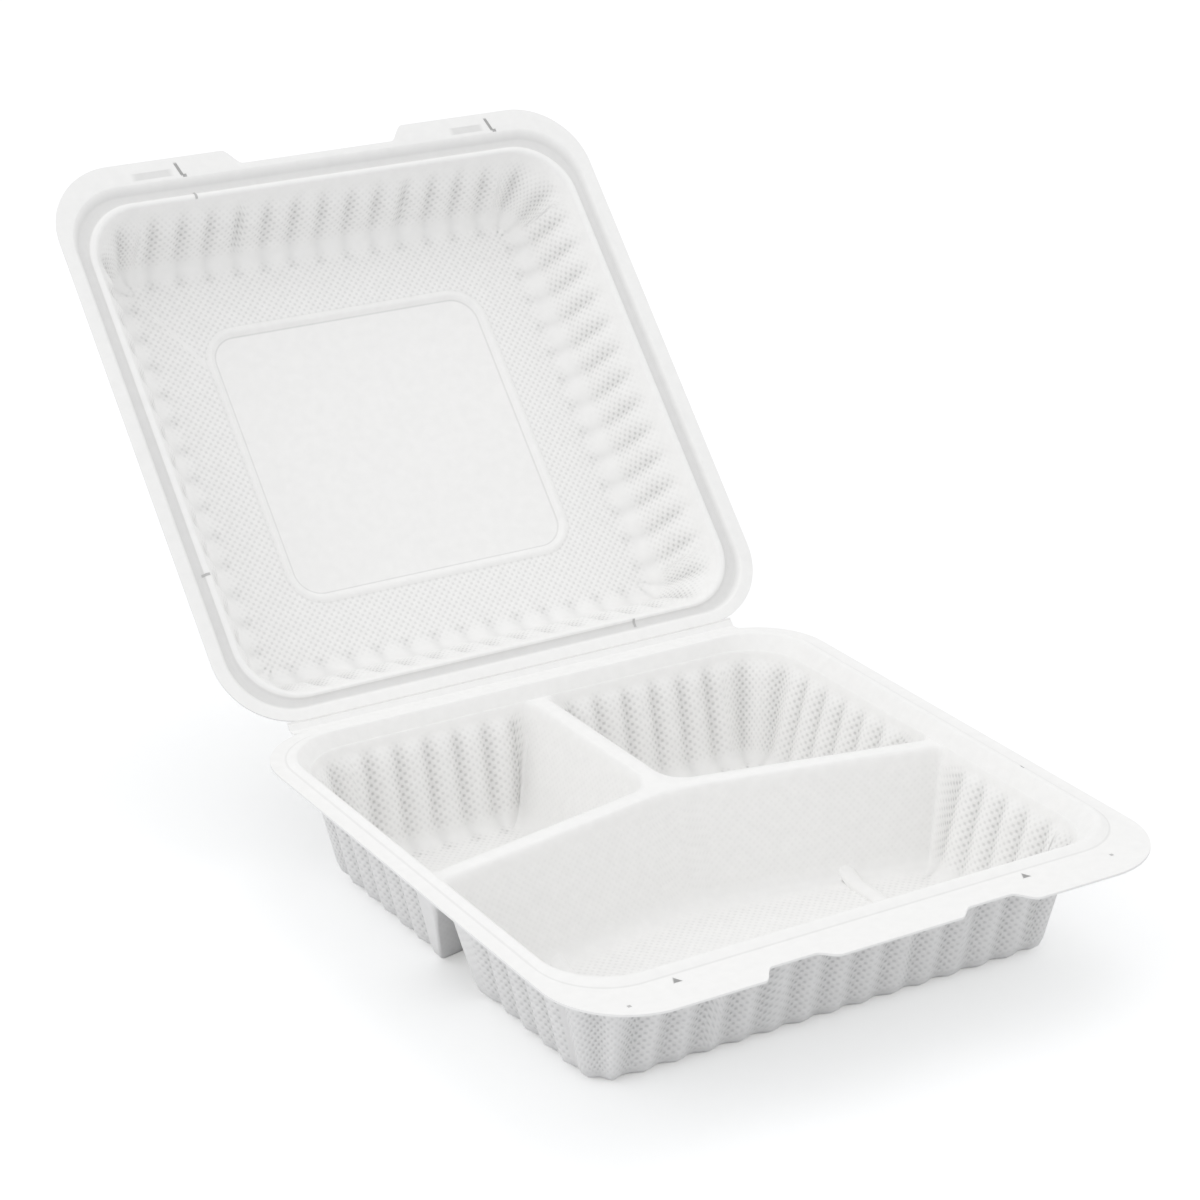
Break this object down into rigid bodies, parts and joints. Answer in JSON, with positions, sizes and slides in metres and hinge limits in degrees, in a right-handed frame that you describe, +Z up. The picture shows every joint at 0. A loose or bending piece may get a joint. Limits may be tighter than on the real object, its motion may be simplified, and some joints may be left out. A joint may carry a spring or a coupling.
{
  "type": "hinged food container",
  "caption": "Hinged food container moulded in one piece, with a fluted tray split into compartments, a domed lid on a living hinge and finger notches at its front lip.",
  "frame": {"origin": "middle of the front compartment's underside, on the plane that the tray stands on: halfway between the side flanges, and 45 mm in front of the middle of the tray's mouth", "axes": "+Z up, +Y from the front lip to the hinge, +X to the right seen from the front"},
  "size_m": [0.229, 0.3997, 0.2154],
  "materials": {
    "moulded_sheet": "matte white, wire-screen texture on the fluted walls"
  },
  "bodies": {
    "tray": {"tray": "moulded_sheet"},
    "lid": {"lid": "moulded_sheet"}
  },
  "joints": [
    {"name": "lid_hinge", "type": "hinge", "parent": "tray", "child": "lid", "pos_m": [0, 0.1582, 0.0462], "axis": [-1, 0, 0], "range_deg": [-133, 47]}
  ]
}
